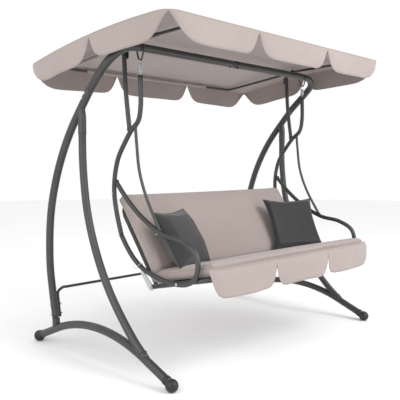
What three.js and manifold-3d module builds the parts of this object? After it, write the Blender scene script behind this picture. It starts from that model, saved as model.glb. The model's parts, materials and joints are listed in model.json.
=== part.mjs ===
// A three-seat canopy swing bench, in millimetres, +Z up. The seat faces -Y, and the
// origin is on the ground in the middle of the object's box.
import * as THREE from 'three';
import { mergeVertices } from 'three/addons/utils/BufferGeometryUtils.js';
import Module from 'manifold-3d';

const wasm = await Module();
wasm.setup();

// ---- driving dimensions ------------------------------------------------------------------
const FRAME_X = 862;          // plane of each side frame
const HANGER_X = 704;         // plane of each hanger and arm
const RAIL_X = 677;           // plane of each seat rail and backrest side
const MAIN_R = 21;            // stand tubes
const HANGER_R = 12.5;        // hanger, arm and rail tubes
const BACK_R = 10;            // backrest tube
const STRUT_R = 8;            // struts, crossbar and canopy tubes
const GAP = 0.5;              // clearance where two pieces meet
const WELD_GAP = 1.2;         // clearance round a coped tube end
const STRAIGHT_LEAD = 25;     // straight run past a bend that leads into a long straight tube
const MAIN_SIDES = 12;        // facets round a stand tube
const HANGER_SIDES = 10;      // facets round a hanger tube

const FOOT_R = 31;            // ball feet
const FOOT_FLAT = 1.5;        // how much of the ball's underside is taken off flat
const FOOT_FRONT_Y = -555;
const FOOT_REAR_Y = 575;
const BOW_RISE = 153;         // bow's crown above the feet
const BOW_BEND_R = 983;       // bend radius of the bow's middle
const BOW_END_SLOPE = THREE.MathUtils.degToRad(22.5);

const BEAM_Y = -161;          // top beam, which is also the swing's pivot line
const BEAM_Z = 1609;
const SLEEVE_R = 17;          // inner sleeve of the beam's middle joint
const SLEEVE_LENGTH = 160;
const LEG_TOP = [45, 1408];   // joint of the rear leg and the beam's bent end
const STUB_TOP = [397, 170];  // joint of the rear leg and the stub on the bow

const PIVOT_Z = 1547;         // lowest point of the hook that carries a spring
const HOOK_R = 4;
const HOOK_BEND_R = 15;
const SPRING_WIRE_R = 1.9;
const SPRING_R = 9.5;         // coil radius at the wire's middle
const SPRING_TURNS = 7;
const SPRING_TOP_Z = 1527;
const SPRING_LOW_Z = 1488;
const HANGER_TOP_Z = 1470;

const ARM_JOINT = [2, 651];   // joint of the hanger and the arm's lower run
const RAIL_REAR = [-221, 405];
const RAIL_FRONT = [-648, 499];
const BACK_PIVOT = [-221, 405];
const BACK_TOP = [70, 800];
const BACK_BAR_AT = 0.32;     // lower cross bar, as a share of the backrest's height

const SEAT_CUSHION_HALF = 684;
const SEAT_CUSHION_THICK = 60;
const BACK_CUSHION_HALF = 658;
const BACK_CUSHION_THICK = 62;
const VALANCE_HALF = 700;     // strip of flaps sewn along the seat cushion's front
const VALANCE_Y = -668;
const VALANCE_CLOTH = 3;
const VALANCE_TOP_Z = 546;
const VALANCE_DEPTH = 142;
const PILLOW_SIZE = 306;
const PILLOW_THICK = 92;

const CANOPY_HALF = 925;
const CANOPY_FRONT = [-605, 1685];
const CANOPY_REAR = [539, 1565];
const CANOPY_CLOTH = 4;
const CANOPY_DROP = 124;      // depth of the hanging flaps
const CANOPY_ARM_X = 700;
const CANOPY_JOINT_Y = -262;  // joint of the canopy's front and rear hoops
const TILT_PIVOT = [-90, 1647];
const ROOF_ARCH = 32;         // rise of the roof between its front and rear edges
const ROOF_CROWN = 26;        // rise of the roof between its sides

const HINGE_BOLT_R = 4;
const TILT_BOLT_R = 3;
const FRAME_BOLT_R = 3;
const BORE_GAP = 0.5;
const CROSSBAR_BOLTS = { upper: [412, 238], lower: [403, 186] };
const ARM_BOLT = [-435, 451.5];

// ---- materials -----------------------------------------------------------------------------
const paint = new THREE.MeshStandardMaterial({ color: 0x46494a, roughness: 0.45, metalness: 0.6 });
const zinc = new THREE.MeshStandardMaterial({ color: 0xc4c7c9, roughness: 0.35, metalness: 0.9 });
const blackPlastic = new THREE.MeshStandardMaterial({ color: 0x1c1d1e, roughness: 0.5, metalness: 0 });
const canopyCloth = new THREE.MeshStandardMaterial({ color: 0xbfae9f, roughness: 0.9, metalness: 0 });
const cushionCloth = new THREE.MeshStandardMaterial({ color: 0xc8b7ab, roughness: 0.95, metalness: 0 });
const slingCloth = new THREE.MeshStandardMaterial({ color: 0x3a3a3b, roughness: 0.9, metalness: 0 });
const pillowCloth = new THREE.MeshStandardMaterial({ color: 0x464646, roughness: 0.95, metalness: 0 });

// The group is moved so that the middle of the bench's box is at the origin.
const bench = new THREE.Group();
const frontReach = VALANCE_Y - VALANCE_CLOTH;
const rearReach = FOOT_REAR_Y + FOOT_R;
bench.position.y = -(frontReach + rearReach) / 2;

function addMesh(name, geometry, material) {
  const mesh = new THREE.Mesh(geometry, material);
  mesh.name = name;
  bench.add(mesh);
  return mesh;
}

// ---- curves and tubes --------------------------------------------------------------------------
function circleShape(radius, sides) {
  const points = [];
  for (let i = 0; i < sides; i++) {
    const turn = ((i + 0.5) / sides) * 2 * Math.PI;
    points.push(new THREE.Vector2(radius * Math.cos(turn), radius * Math.sin(turn)));
  }
  return new THREE.Shape(points);
}

// A list of [y, z] points in the plane x, as a smooth curve.
function curveInPlane(x, points) {
  return smoothCurve(points.map(([y, z]) => [x, y, z]));
}

// A smooth curve whose steps are shared evenly between its points, so a bend, which has its
// points close together, is finer than a straight run.
class RouteCurve extends THREE.CatmullRomCurve3 {
  getUtoTmapping(u) {
    return u;
  }
}

function smoothCurve(points) {
  const vectors = points.map((p) => new THREE.Vector3(...p));
  return new RouteCurve(vectors, false, 'centripetal');
}

function tube(curve, radius, stepsPerSpan = 2, sides = 8) {
  const steps = stepsPerSpan * (curve.points.length - 1);
  const settings = { steps, extrudePath: curve, curveSegments: 1, bevelEnabled: false };
  return new THREE.ExtrudeGeometry(circleShape(radius, sides), settings);
}

function straightTube(start, end, radius, sides = 8) {
  return tube(smoothCurve([start, end]), radius, 1, sides);
}

// ---- booleans ------------------------------------------------------------------------------------
function toSolid(geometry) {
  const bare = geometry.clone();
  bare.deleteAttribute('normal');
  bare.deleteAttribute('uv');
  const merged = mergeVertices(bare, 1e-3);
  const mesh = new wasm.Mesh({
    numProp: 3,
    vertProperties: Float32Array.from(merged.attributes.position.array),
    triVerts: Uint32Array.from(merged.index.array),
  });
  return new wasm.Manifold(mesh);
}

function toGeometry(solid) {
  const mesh = solid.getMesh();
  const geometry = new THREE.BufferGeometry();
  geometry.setAttribute('position', new THREE.BufferAttribute(Float32Array.from(mesh.vertProperties), 3));
  geometry.setIndex(new THREE.BufferAttribute(Uint32Array.from(mesh.triVerts), 1));
  geometry.computeVertexNormals();
  return geometry;
}

function cut(geometry, ...tools) {
  let solid = toSolid(geometry);
  for (const tool of tools) solid = solid.subtract(toSolid(tool));
  return toGeometry(largestPiece(solid));
}

function join(...geometries) {
  return toGeometry(geometries.map(toSolid).reduce((a, b) => a.add(b)));
}

function largestPiece(solid) {
  const pieces = solid.decompose();
  return pieces.reduce((a, b) => (a.volume() >= b.volume() ? a : b));
}

// ---- the stand -------------------------------------------------------------------------------------
const bowMiddleY = (FOOT_FRONT_Y + FOOT_REAR_Y) / 2;
const bowTopZ = FOOT_R + BOW_RISE;
const bowBendHalf = BOW_BEND_R * Math.sin(BOW_END_SLOPE);

// Height of the bow's centre line at y: a wide bend that runs out straight to both feet.
function bowHeight(y) {
  const off = Math.abs(y - bowMiddleY);
  if (off <= bowBendHalf) return bowTopZ - (BOW_BEND_R - Math.sqrt(BOW_BEND_R ** 2 - off ** 2));
  const bendDrop = BOW_BEND_R * (1 - Math.cos(BOW_END_SLOPE));
  return bowTopZ - bendDrop - (off - bowBendHalf) * Math.tan(BOW_END_SLOPE);
}

function bowCurve(x, inset) {
  const points = [];
  const steps = 14;
  const first = FOOT_FRONT_Y + inset;
  const last = FOOT_REAR_Y - inset;
  for (let i = 0; i <= steps; i++) {
    const y = first + ((last - first) * i) / steps;
    points.push([y, bowHeight(y)]);
  }
  return curveInPlane(x, points);
}

function buildBow(side, x) {
  const bow = tube(bowCurve(x, 0), MAIN_R, 1, MAIN_SIDES);
  const feet = [FOOT_FRONT_Y, FOOT_REAR_Y].map((y) => footBall(x, y, FOOT_R + GAP));
  addMesh(`base_bow_${side}`, cut(bow, ...feet), paint);
}

function footBall(x, y, radius) {
  return new THREE.SphereGeometry(radius, 16, 10).rotateX(Math.PI / 2).translate(x, y, FOOT_R - FOOT_FLAT);
}

function buildFeet(side, x) {
  for (const [end, y] of [['front', FOOT_FRONT_Y], ['rear', FOOT_REAR_Y]]) {
    const ground = new THREE.BoxGeometry(100, 100, 20).translate(x, y, -10);
    addMesh(`foot_ball_${end}_${side}`, cut(footBall(x, y, FOOT_R), ground), blackPlastic);
  }
}

const REAR_LEG = [
  STUB_TOP, [426, 311], [448, 454], [447, 630], [427, 776], [383, 919], [320, 1056], [226, 1202], LEG_TOP,
];
const FRONT_LEG = [
  [136, 1322], [121, 1268], [120, 1190], [119, 1059], [108, 926], [86, 794], [46, 664], [-18, 522],
  [-99, 391], [-192, 278], [-298, 172], [-385, 104],
];

function stubTube(x, radius) {
  const foot = [385, bowHeight(385)];
  return tube(curveInPlane(x, [foot, STUB_TOP]), radius, 1, MAIN_SIDES);
}

function buildStub(side, x) {
  addMesh(`leg_stub_${side}`, cut(stubTube(x, MAIN_R), fatBow(x)), paint);
}

function fatRearLeg(x) {
  return tube(curveInPlane(x, REAR_LEG), MAIN_R + WELD_GAP, 2, MAIN_SIDES);
}

function fatBow(x) {
  return tube(bowCurve(x, 60), MAIN_R + WELD_GAP, 1, MAIN_SIDES);
}

function buildRearLeg(side, x) {
  const start = [STUB_TOP[0] + 0.1, STUB_TOP[1] + GAP];
  const end = [LEG_TOP[0] + GAP * 0.7, LEG_TOP[1] - GAP * 0.7];
  const route = [start, ...REAR_LEG.slice(1, -1), end];
  const leg = tube(curveInPlane(x, route), MAIN_R, 2, MAIN_SIDES);
  addMesh(`rear_leg_${side}`, cut(leg, stubTube(x, MAIN_R + WELD_GAP), ...crossbarBores(x)), paint);
}

function crossbarBores(x) {
  return Object.values(CROSSBAR_BOLTS).map(([y, z]) => xCylinder(FRAME_BOLT_R + BORE_GAP, 120, x, y, z, 8));
}

function buildFrontLeg(side, x) {
  const leg = tube(curveInPlane(x, FRONT_LEG), MAIN_R - 1, 2, MAIN_SIDES);
  addMesh(`front_leg_${side}`, cut(leg, fatBow(x), fatRearLeg(x)), paint);
}

function buildBeamHalf(side, x) {
  const sign = Math.sign(x);
  const route = [
    [x, LEG_TOP[0], LEG_TOP[1]], [x, -8, 1455], [x * 0.997, -82, 1518], [x * 0.977, -134, 1561],
    [x * 0.925, -157, 1594], [x * 0.85, BEAM_Y, 1607], [x * 0.74, BEAM_Y, BEAM_Z],
    [x * 0.4, BEAM_Y, BEAM_Z], [sign * GAP, BEAM_Y, BEAM_Z],
  ];
  const beam = tube(smoothCurve(route), MAIN_R, 2, MAIN_SIDES);
  addMesh(`top_beam_${side}`, cut(beam, beamSleeve(GAP), fatRearLeg(x)), paint);
}

function beamSleeve(allowance) {
  const half = SLEEVE_LENGTH / 2 + allowance;
  return straightTube([-half, BEAM_Y, BEAM_Z], [half, BEAM_Y, BEAM_Z], SLEEVE_R + allowance, 12);
}

// The crossbar's ends turn down along the inner side of the rear legs and are bolted there.
function buildCrossbar() {
  const inner = FRAME_X - MAIN_R - STRUT_R - GAP;
  const halfRoute = [
    [inner, 401, 168], [inner, 417, 262], [inner - 4, 424, 305], [inner - 36, 425, 326],
    [inner - 36 - STRAIGHT_LEAD, 425, 326],
  ];
  const left = halfRoute.map(([x, y, z]) => [-x, y, z]);
  const right = [...halfRoute].reverse();
  const bar = tube(smoothCurve([...left, ...right]), STRUT_R, 2, 8);
  const bores = [...crossbarBores(-FRAME_X), ...crossbarBores(FRAME_X)];
  addMesh('rear_crossbar', cut(bar, ...bores), paint);
}

// A bolt along X with a head outside the leg and a nut inside the crossbar.
function throughBolt(sign, outerX, innerX, [y, z], radius) {
  const shank = xCylinder(radius, outerX - innerX + 6, (sign * (outerX + innerX)) / 2, y, z, 8);
  const head = xCylinder(radius * 2.2, 5, sign * (outerX + 2.5 + GAP), y, z, 12);
  const nut = xCylinder(radius * 2, 5, sign * (innerX - 2.5 - GAP), y, z, 6);
  return join(shank, head, nut);
}

function buildCrossbarBolts(side, x) {
  const outer = FRAME_X + MAIN_R;
  const inner = FRAME_X - MAIN_R - GAP - 2 * STRUT_R;
  for (const [level, place] of Object.entries(CROSSBAR_BOLTS)) {
    addMesh(`crossbar_bolt_${level}_${side}`, throughBolt(Math.sign(x), outer, inner, place, FRAME_BOLT_R), zinc);
  }
}

// ---- spring hooks and springs -------------------------------------------------------------------------
function hookCurve(x) {
  const armAngle = THREE.MathUtils.degToRad(62);
  const points = [];
  for (let i = -2; i <= 2; i++) {
    const turn = (armAngle * i) / 2;
    points.push([HOOK_BEND_R * Math.sin(turn), PIVOT_Z + HOOK_BEND_R * (1 - Math.cos(turn))]);
  }
  const tip = MAIN_R + HOOK_R + GAP;
  const front = [[-tip, BEAM_Z + 4], [-tip, BEAM_Z - 14]];
  const rear = [[tip, BEAM_Z - 14], [tip, BEAM_Z + 4]];
  return curveInPlane(x, [...front, ...points, ...rear].map(([y, z]) => [BEAM_Y + y, z]));
}

function buildHook(side, x) {
  addMesh(`spring_hook_${side}`, tube(hookCurve(x), HOOK_R, 2, 6), paint);
}

// One wire: an eye round the hook, the coil, and an eye through the hanger's top.
function springCurve(x) {
  const points = [];
  const eyeR = HOOK_R + SPRING_WIRE_R + 1.4;
  for (let i = 0; i <= 8; i++) {
    const turn = THREE.MathUtils.degToRad(-60 + i * 35);
    points.push([x + eyeR * Math.cos(turn), BEAM_Y, PIVOT_Z + eyeR * Math.sin(turn)]);
  }
  points.push([x - 2, BEAM_Y, SPRING_TOP_Z + 4]);
  const perTurn = 8;
  for (let i = 0; i <= SPRING_TURNS * perTurn; i++) {
    const turn = (i / perTurn) * 2 * Math.PI;
    const z = SPRING_TOP_Z - ((SPRING_TOP_Z - SPRING_LOW_Z) * i) / (SPRING_TURNS * perTurn);
    points.push([x - SPRING_R * Math.cos(turn), BEAM_Y + SPRING_R * Math.sin(turn), z]);
  }
  points.push([x - 1, BEAM_Y, SPRING_LOW_Z - 5]);
  points.push([x, BEAM_Y, HANGER_TOP_Z + SPRING_WIRE_R + GAP]);
  return smoothCurve(points);
}

function buildSpring(side, x) {
  addMesh(`spring_${side}`, tube(springCurve(x), SPRING_WIRE_R, 1, 5), zinc);
}

// ---- the hanging seat frame ---------------------------------------------------------------------------
const HANGER = [
  [BEAM_Y, HANGER_TOP_Z], [BEAM_Y, 1315], [-143, 1247], [-87, 1200], [-32, 1137], [25, 1056],
  [54, 962], [60, 869], [40, 765], ARM_JOINT,
];
const ARM_LOOP = [
  ARM_JOINT, [-46, 591], [-98, 540], [-171, 495], [-285, 461], [-395, 449], [-483, 456], [-540, 486],
  [-566, 544], [-546, 612], [-455, 660], [-320, 683], [-181, 747], [-62, 831], [52, 940],
];
const STRUT = [[-118, 1225], [-128, 1130], [-148, 993], [-200, 862], [-312, 684]];
const POST = [[-74, 1190], [-44, 1400], [-30, 1611]];

function buildHanger(side, x) {
  addMesh(`hanger_tube_${side}`, tube(curveInPlane(x, HANGER), HANGER_R, 2, HANGER_SIDES), paint);
}

function fatHanger(x) {
  return tube(curveInPlane(x, HANGER), HANGER_R + WELD_GAP, 2, HANGER_SIDES);
}

function buildArmLoop(side, x) {
  const start = [ARM_JOINT[0] - GAP * 0.7, ARM_JOINT[1] - GAP * 0.7];
  const route = [start, ...ARM_LOOP.slice(1)];
  const loop = tube(curveInPlane(x, route), HANGER_R, 2, HANGER_SIDES);
  const bore = xCylinder(FRAME_BOLT_R + BORE_GAP, 80, x, ...ARM_BOLT, 8);
  addMesh(`arm_loop_${side}`, cut(loop, fatHanger(x), bore), paint);
}

function buildStrut(side, x) {
  const strut = tube(curveInPlane(x, STRUT), STRUT_R, 2, 8);
  const loop = tube(curveInPlane(x, ARM_LOOP), HANGER_R + WELD_GAP, 2, HANGER_SIDES);
  addMesh(`arm_strut_${side}`, cut(strut, fatHanger(x), loop), paint);
}

function buildPost(side, x) {
  const post = tube(curveInPlane(x, POST), HANGER_R - 0.5, 3, HANGER_SIDES);
  addMesh(`canopy_post_${side}`, cut(post, fatHanger(x)), paint);
}

// Flat plate on the post's inner side that carries the canopy's tilt bolt.
function buildCanopyBracket(side, x) {
  const [pivotY, pivotZ] = TILT_PIVOT;
  const outline = new THREE.Shape();
  outline.moveTo(-48, 1570);
  outline.lineTo(-18, 1570);
  outline.lineTo(-16, 1608);
  outline.lineTo(pivotY + 10, pivotZ + 14);
  outline.absarc(pivotY, pivotZ, 16, Math.PI / 3, Math.PI * 1.4, false);
  outline.lineTo(-50, 1612);
  const plateX = Math.sign(x) * (HANGER_X - HANGER_R - 2.5);
  const bore = xCylinder(TILT_BOLT_R + BORE_GAP, 30, plateX, ...TILT_PIVOT, 12);
  addMesh(`canopy_bracket_${side}`, cut(slab(outline, plateX - 2, plateX + 2), bore), paint);
}

// Turns a shape drawn in (y, z) and extruded along +Z into one extruded along +X.
function yzToWorld() {
  return new THREE.Matrix4().makeBasis(
    new THREE.Vector3(0, 1, 0), new THREE.Vector3(0, 0, 1), new THREE.Vector3(1, 0, 0));
}

function xCylinder(radius, length, x, y, z, sides) {
  return new THREE.CylinderGeometry(radius, radius, length, sides).rotateZ(Math.PI / 2).translate(x, y, z);
}

// ---- the seat ------------------------------------------------------------------------------------------
const railSlope = Math.atan2(RAIL_FRONT[1] - RAIL_REAR[1], RAIL_REAR[0] - RAIL_FRONT[0]);

// Height of the rail's centre line at y.
function railHeight(y) {
  return RAIL_REAR[1] + (RAIL_REAR[0] - y) * Math.tan(railSlope);
}

function buildSeatRail(side, x) {
  const extra = 14;
  const rear = [x, RAIL_REAR[0] + extra, railHeight(RAIL_REAR[0] + extra)];
  const front = [x, ...RAIL_FRONT];
  const rail = straightTube(rear, front, HANGER_R, HANGER_SIDES);
  const hingeBore = xCylinder(HINGE_BOLT_R + BORE_GAP, 60, x, ...BACK_PIVOT, 12);
  const armBore = xCylinder(FRAME_BOLT_R + BORE_GAP, 60, x, ...ARM_BOLT, 8);
  addMesh(`seat_rail_${side}`, cut(rail, hingeBore, armBore), paint);
}

function buildSeatBars() {
  const half = RAIL_X + HANGER_R;
  const fatRails = [-RAIL_X, RAIL_X].map((x) =>
    straightTube([x, -100, railHeight(-100)], [x, -760, railHeight(-760)], HANGER_R + WELD_GAP, 10));
  const bars = { seat_front_bar: -632, seat_rear_bar: -262 };
  for (const [name, y] of Object.entries(bars)) {
    const bar = straightTube([-half, y, railHeight(y)], [half, y, railHeight(y)], STRUT_R, 10);
    addMesh(name, cut(bar, ...fatRails), paint);
  }
}

// Woven sling that lies on the bars, between the two rails.
function buildSeatSling() {
  const rise = STRUT_R + GAP;
  const [rearY, frontY, cloth] = [-248, -640, 3];
  const outline = [
    [rearY, railHeight(rearY) + rise], [rearY, railHeight(rearY) + rise + cloth],
    [frontY, railHeight(frontY) + rise + cloth], [frontY, railHeight(frontY) + rise],
  ];
  addMesh('seat_sling', slab(outline, -655, 655), slingCloth);
}

// A closed (y, z) outline extruded from one x to another.
function slab(outline, fromX, toX, curveSegments = 4) {
  const shape = outline instanceof THREE.Shape ? outline : new THREE.Shape(outline.map((p) => new THREE.Vector2(...p)));
  const settings = { depth: toX - fromX, bevelEnabled: false, curveSegments };
  return new THREE.ExtrudeGeometry(shape, settings).applyMatrix4(yzToWorld()).translate(fromX, 0, 0);
}

// Galvanised plate on each hanger's lower run that holds the rail's rear end and the hinge bolt.
function buildHingePlate(side, x) {
  const sign = Math.sign(x);
  const outline = new THREE.Shape();
  outline.moveTo(-240, 398);
  outline.absarc(BACK_PIVOT[0], BACK_PIVOT[1], 20, Math.PI * 1.15, Math.PI * 1.75, false);
  outline.lineTo(-138, 470);
  outline.lineTo(-150, 486);
  outline.lineTo(-222, 425);
  const plate = slab(outline, -2, 2).translate(sign * (RAIL_X + HANGER_R + 2.5), 0, 0);
  const loop = tube(curveInPlane(sign * HANGER_X, ARM_LOOP), HANGER_R + WELD_GAP, 2, HANGER_SIDES);
  const bore = xCylinder(HINGE_BOLT_R + BORE_GAP, 60, x, ...BACK_PIVOT, 12);
  addMesh(`hinge_plate_${side}`, cut(plate, loop, bore), zinc);
}

function buildHingeBolt(side, x) {
  const sign = Math.sign(x);
  const shankEnd = RAIL_X - HANGER_R - BACK_R * 2 - 3;
  const shankStart = RAIL_X + HANGER_R + 5;
  const middle = (sign * (shankEnd + shankStart)) / 2;
  const shank = xCylinder(HINGE_BOLT_R, shankStart - shankEnd, middle, ...BACK_PIVOT, 12);
  const head = xCylinder(8, 5, sign * (shankStart + 2.4), ...BACK_PIVOT, 12);
  addMesh(`hinge_bolt_${side}`, join(shank, head), zinc);
}

function buildArmBolt(side, x) {
  const bolt = throughBolt(Math.sign(x), HANGER_X + HANGER_R, RAIL_X - HANGER_R, ARM_BOLT, FRAME_BOLT_R);
  addMesh(`arm_bolt_${side}`, bolt, zinc);
}

// Wire clip that hooks over the arm's lower run and keeps the backrest upright.
function buildReclineClip(side, x) {
  const [y, z] = [-150, 506];
  const up = [-0.52, 0.854];
  const hookR = HANGER_R + SPRING_WIRE_R + 1;
  const sign = Math.sign(x);
  const route = [];
  for (let i = 0; i <= 6; i++) {
    const turn = THREE.MathUtils.degToRad(-35 + i * 40);
    const rise = hookR * Math.sin(turn);
    route.push([x - sign * hookR * Math.cos(turn), y + up[0] * rise, z + up[1] * rise]);
  }
  route.push([x + sign * (hookR + 2), y + 16, z - 12], [x + sign * (hookR + 2), y + 36, z + 2]);
  addMesh(`recline_clip_${side}`, tube(smoothCurve(route), SPRING_WIRE_R, 2, 5), zinc);
}

// ---- the backrest -----------------------------------------------------------------------------------
const BACK_X = RAIL_X - HANGER_R - BACK_R - 1;
const backLean = Math.atan2(BACK_TOP[0] - BACK_PIVOT[0], BACK_TOP[1] - BACK_PIVOT[1]);

// A point of the backrest's plane: how far up it, and how far in front of it.
function onBack(up, front) {
  const y = BACK_PIVOT[0] + up * Math.sin(backLean) - front * Math.cos(backLean);
  const z = BACK_PIVOT[1] + up * Math.cos(backLean) + front * Math.sin(backLean);
  return [y, z];
}

const backLength = Math.hypot(BACK_TOP[0] - BACK_PIVOT[0], BACK_TOP[1] - BACK_PIVOT[1]);

function buildBackrestFrame() {
  const bend = 55;
  const rise = [[BACK_X, -12], [BACK_X, 120], [BACK_X, 300], [BACK_X, backLength - bend]];
  const corner = [
    [BACK_X - bend * 0.3, backLength - bend * 0.3], [BACK_X - bend, backLength],
    [BACK_X - bend - STRAIGHT_LEAD, backLength],
  ];
  const right = [...rise, ...corner].map(([x, up]) => [x, ...onBack(up, 0)]);
  const left = right.map(([x, y, z]) => [-x, y, z]);
  const hoop = tube(smoothCurve([...left, ...right.reverse()]), BACK_R, 2, 8);
  const bores = [-BACK_X, BACK_X].map((x) => xCylinder(HINGE_BOLT_R + BORE_GAP, 60, x, ...BACK_PIVOT, 12));
  addMesh('backrest_frame', cut(hoop, ...bores), paint);
}

function buildBackrestBar() {
  const up = backLength * BACK_BAR_AT;
  const end = BACK_X - BACK_R - WELD_GAP;
  addMesh('backrest_lower_bar', straightTube([-end, ...onBack(up, 0)], [end, ...onBack(up, 0)], STRUT_R, 10), paint);
}

function buildBackrestSling() {
  const near = BACK_R + GAP;
  const outline = [onBack(90, near), onBack(backLength - 6, near), onBack(backLength - 6, near + 3), onBack(90, near + 3)];
  addMesh('backrest_sling', slab(outline, -BACK_X + 12, BACK_X - 12), slingCloth);
}

// ---- soft goods ----------------------------------------------------------------------------------------
// A pad with rounded long edges, its outline given by its length and thickness in its own frame.
function padOutline(placePoint, low, high, thickness, roundness) {
  const points = [];
  const mid = thickness / 2;
  const corners = [[low, -1], [high, 1]];
  for (const [end, way] of corners) {
    for (let i = -2; i <= 2; i++) {
      const turn = (i / 2) * (Math.PI / 2) * way;
      const along = end + way * (roundness * Math.cos(turn) - roundness);
      points.push(placePoint(along, mid + mid * Math.sin(turn)));
    }
  }
  return points;
}

function onSeat(along, above) {
  const y = RAIL_REAR[0] - along * Math.cos(railSlope) + above * Math.sin(railSlope) * 0.2;
  return [y, railHeight(y) + STRUT_R + 6 + above];
}

function buildSeatCushion() {
  const outline = padOutline(onSeat, 26, 446, SEAT_CUSHION_THICK, 30);
  addMesh('seat_cushion', slab(outline, -SEAT_CUSHION_HALF, SEAT_CUSHION_HALF), cushionCloth);
}

function onBackPad(up, front) {
  return onBack(up, BACK_R + 6 + front);
}

function buildBackCushion() {
  const outline = padOutline(onBackPad, 70, backLength + 36, BACK_CUSHION_THICK, 24).reverse();
  addMesh('back_cushion', slab(outline, -BACK_CUSHION_HALF, BACK_CUSHION_HALF), cushionCloth);
}

// Edge of a row of hanging flaps, from one end to the other: round lower corners, with a
// curved notch between two flaps that reaches almost up to the seam.
function flapEdge(from, to, count, depth, round = 34) {
  const points = [];
  const width = (to - from) / count;
  for (let i = 0; i < count; i++) {
    const start = from + width * i;
    const end = start + width;
    points.push([start + 3, depth * 0.12], [start + 9, depth * 0.62], [start + round, depth * 0.95]);
    points.push([start + round * 1.8, depth], [end - round * 1.8, depth]);
    points.push([end - round, depth * 0.95], [end - 9, depth * 0.62], [end - 3, depth * 0.12]);
  }
  return points;
}

function buildSeatValance() {
  const edge = flapEdge(-VALANCE_HALF, VALANCE_HALF, 3, VALANCE_DEPTH);
  const outline = [[VALANCE_HALF, 0], [-VALANCE_HALF, 0], ...edge];
  const shape = new THREE.Shape(outline.map(([x, drop]) => new THREE.Vector2(x, VALANCE_TOP_Z - drop)));
  const sheet = new THREE.ExtrudeGeometry(shape, { depth: VALANCE_CLOTH, bevelEnabled: false });
  sheet.rotateX(Math.PI / 2);
  sheet.translate(0, VALANCE_Y, 0);
  addMesh('seat_valance', sheet, cushionCloth);
}

// A square pillow, full in the middle and thin at its edge, leaning on the back cushion.
function buildPillow(side, centre, turn, lean) {
  const geometry = new THREE.SphereGeometry(1, 16, 10);
  const power = 0.45;
  const spread = (v) => Math.sign(v) * Math.abs(v) ** power;
  moveVertices(geometry, ([x, y, z]) =>
    [(spread(x) * PILLOW_SIZE) / 2, (-z * PILLOW_THICK) / 2, (spread(y) * PILLOW_SIZE) / 2]);
  geometry.rotateX(THREE.MathUtils.degToRad(-lean));
  geometry.rotateZ(THREE.MathUtils.degToRad(turn));
  geometry.translate(...centre);
  addMesh(`pillow_${side}`, geometry, pillowCloth);
}

// ---- the canopy ------------------------------------------------------------------------------------------
// Height of the cloth roof: arched from front to rear, and crowned from side to side.
function roofHeight(x, y) {
  const share = (y - CANOPY_FRONT[0]) / (CANOPY_REAR[0] - CANOPY_FRONT[0]);
  const line = CANOPY_FRONT[1] + (CANOPY_REAR[1] - CANOPY_FRONT[1]) * share;
  const arch = ROOF_ARCH * 4 * share * (1 - share);
  return line + arch + ROOF_CROWN * (1 - (x / CANOPY_HALF) ** 4) * THREE.MathUtils.clamp(4 * share, 0, 1);
}

const CANOPY_ARM = [[-588, 1668], [-420, 1660], [CANOPY_JOINT_Y, 1655], [-161, 1652], TILT_PIVOT,
  [60, 1628], [291, 1600], [498, 1577]];

// One bent tube: a cross tube with an arm at each end, given from the cross tube inwards.
function hoopCurve(arm) {
  const bend = 45;
  const [[crossY, crossZ], [nextY, nextZ]] = arm;
  const way = Math.sign(nextY - crossY);
  const corner = [
    [CANOPY_ARM_X - bend - STRAIGHT_LEAD, crossY, crossZ], [CANOPY_ARM_X - bend, crossY, crossZ],
    [CANOPY_ARM_X - bend * 0.3, crossY + way * bend * 0.3, crossZ],
  ];
  const turnShare = bend / Math.abs(nextY - crossY);
  const afterBend = [CANOPY_ARM_X, crossY + way * bend, crossZ + (nextZ - crossZ) * turnShare];
  const rest = arm.slice(1).map(([y, z]) => [CANOPY_ARM_X, y, z]);
  const right = [...corner, afterBend, ...rest];
  const left = right.map(([x, y, z]) => [-x, y, z]).reverse();
  return smoothCurve([...left, ...right]);
}

function buildCanopyHoops() {
  const joint = CANOPY_ARM.findIndex(([y]) => y === CANOPY_JOINT_Y);
  const [jointY, jointZ] = CANOPY_ARM[joint];
  const frontArm = [...CANOPY_ARM.slice(0, joint), [jointY - GAP, jointZ]];
  const rearArm = [...CANOPY_ARM.slice(joint + 1).reverse(), [jointY + GAP, jointZ]];
  const bores = [-CANOPY_ARM_X, CANOPY_ARM_X].map((x) =>
    xCylinder(TILT_BOLT_R + BORE_GAP, 40, x, ...TILT_PIVOT, 12));
  addMesh('canopy_front_hoop', tube(hoopCurve(frontArm), STRUT_R, 2, 8), paint);
  addMesh('canopy_rear_hoop', cut(tube(hoopCurve(rearArm), STRUT_R, 2, 8), ...bores), paint);
}

function buildCanopyKnob(side, x) {
  const sign = Math.sign(x);
  const outer = CANOPY_ARM_X + STRUT_R + GAP;
  const inner = HANGER_X - HANGER_R - 5;
  const shank = xCylinder(TILT_BOLT_R, outer - inner + 12, (sign * (outer + inner)) / 2, ...TILT_PIVOT, 12);
  const knob = xCylinder(12, 14, sign * (outer + 7), ...TILT_PIVOT, 12);
  const nut = xCylinder(6, 5, sign * (inner - 3), ...TILT_PIVOT, 6);
  addMesh(`canopy_knob_${side}`, join(shank, knob, nut), blackPlastic);
}

// The roof is one sheet; a vertex of a flat box is lifted onto the roof's surface.
function roofSheet() {
  const depth = CANOPY_REAR[0] - CANOPY_FRONT[0];
  const sheet = new THREE.BoxGeometry(2 * CANOPY_HALF, depth, CANOPY_CLOTH, 8, 8, 1);
  sheet.translate(0, (CANOPY_REAR[0] + CANOPY_FRONT[0]) / 2, 0);
  return moveVertices(sheet, ([x, y, z]) => [x, y, z + roofHeight(x, y)]);
}

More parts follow.
